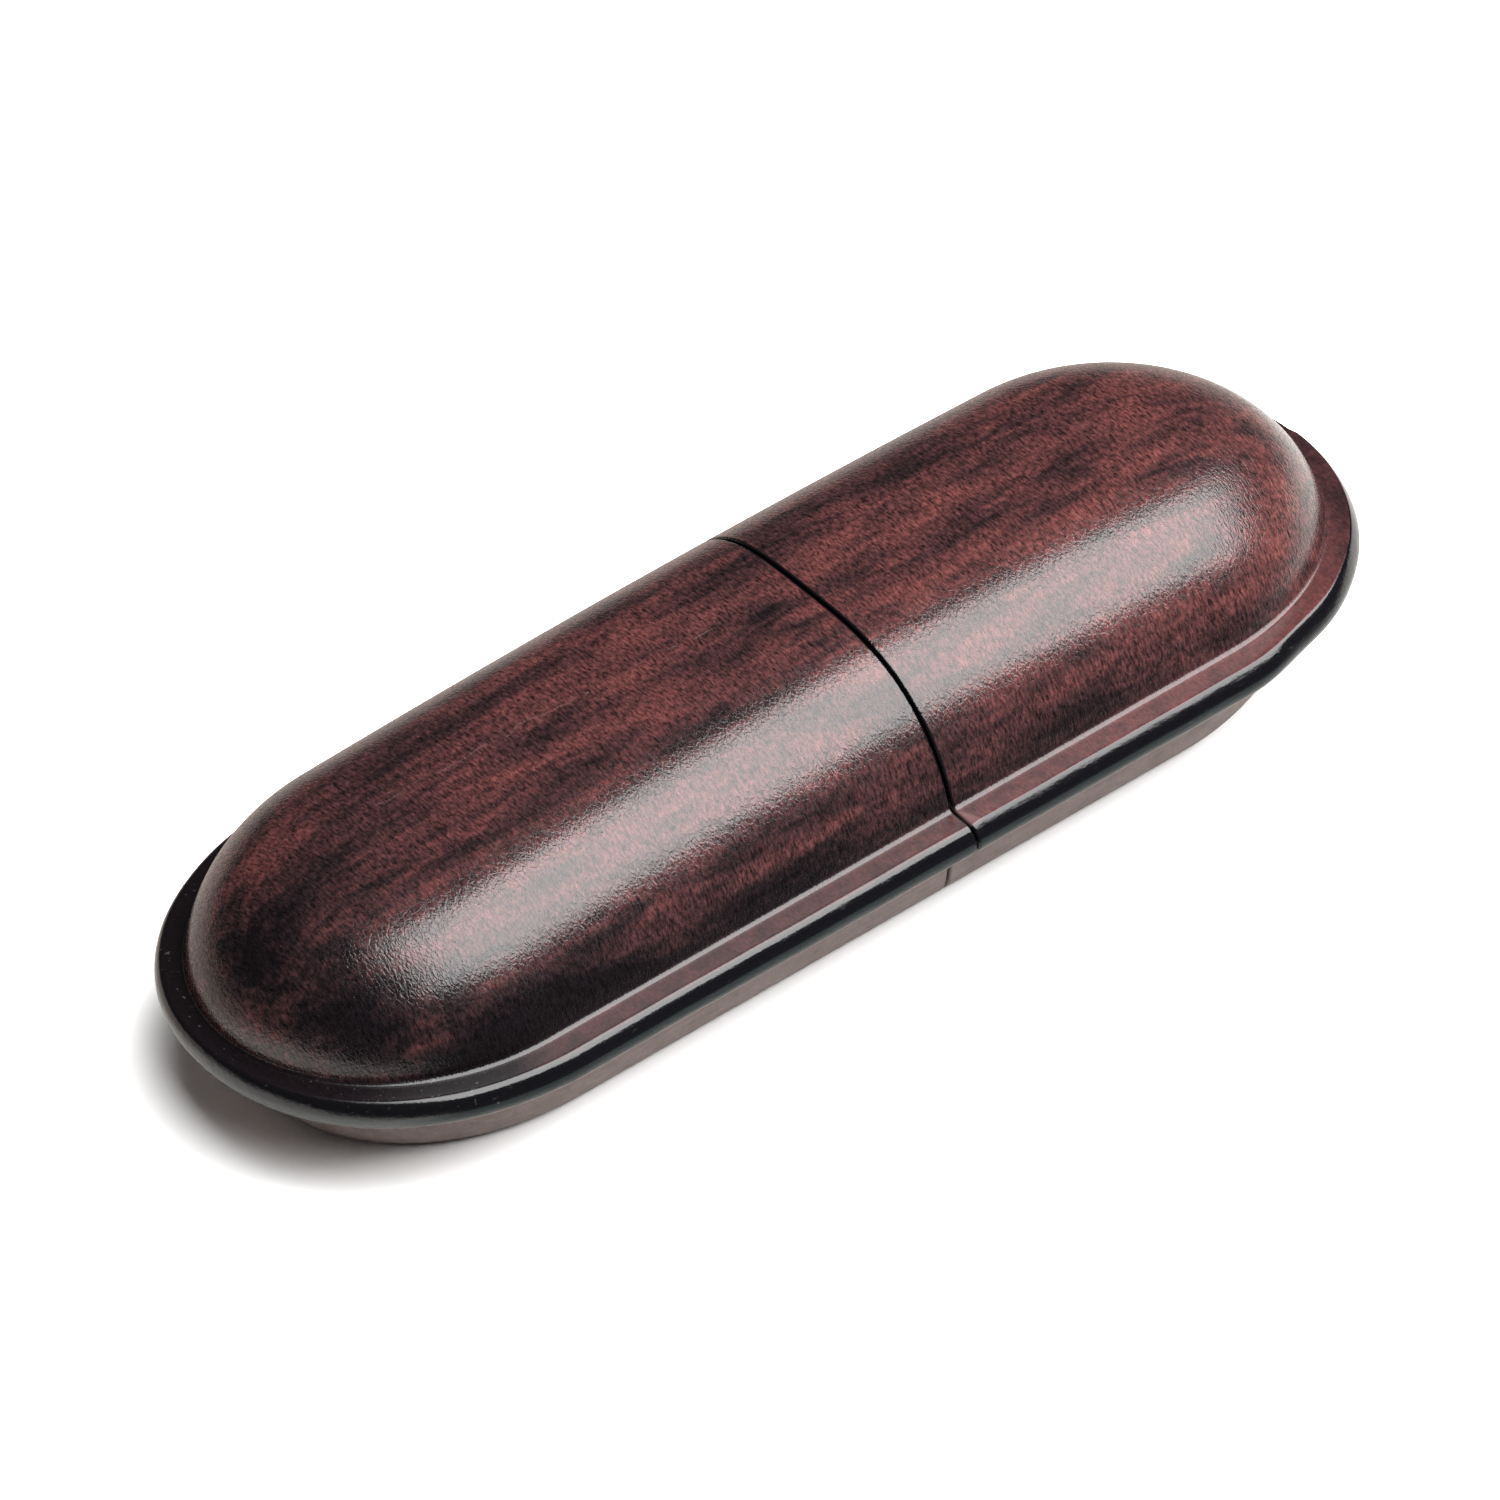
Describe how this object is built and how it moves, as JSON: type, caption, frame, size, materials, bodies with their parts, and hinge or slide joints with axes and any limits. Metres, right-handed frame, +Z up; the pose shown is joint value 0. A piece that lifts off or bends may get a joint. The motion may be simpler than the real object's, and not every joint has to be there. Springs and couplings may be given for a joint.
{
  "type": "moulded leather pen case",
  "caption": "Hard moulded-leather case for pens, round-ended, in two halves that pull apart over an inner sleeve.",
  "frame": {"origin": "centre of the case's outline, on the flat underside that it rests on", "axes": "+X along the case to the cap's rounded end, +Y to the left of that, +Z up through the dome"},
  "size_m": [0.1674, 0.063, 0.0354],
  "materials": {
    "polished_hide": "hand-dyed dark red-brown with black mottling, fine grain, wax polish",
    "sleeve_hide": "thin dark brown hide, smooth satin",
    "suede": "tan suede, matt"
  },
  "bodies": {
    "body": {"body_upper_shell": "polished_hide", "body_lower_shell": "polished_hide", "sleeve_upper": "sleeve_hide", "sleeve_lower": "sleeve_hide", "body_upper_lining": "suede", "body_lower_lining": "suede"},
    "cap": {"cap_upper_shell": "polished_hide", "cap_lower_shell": "polished_hide", "cap_upper_lining": "suede", "cap_lower_lining": "suede"}
  },
  "joints": [
    {"name": "cap_pull", "type": "slide", "parent": "body", "child": "cap", "axis": [1, 0, 0], "range_m": [0, 0.04]}
  ]
}
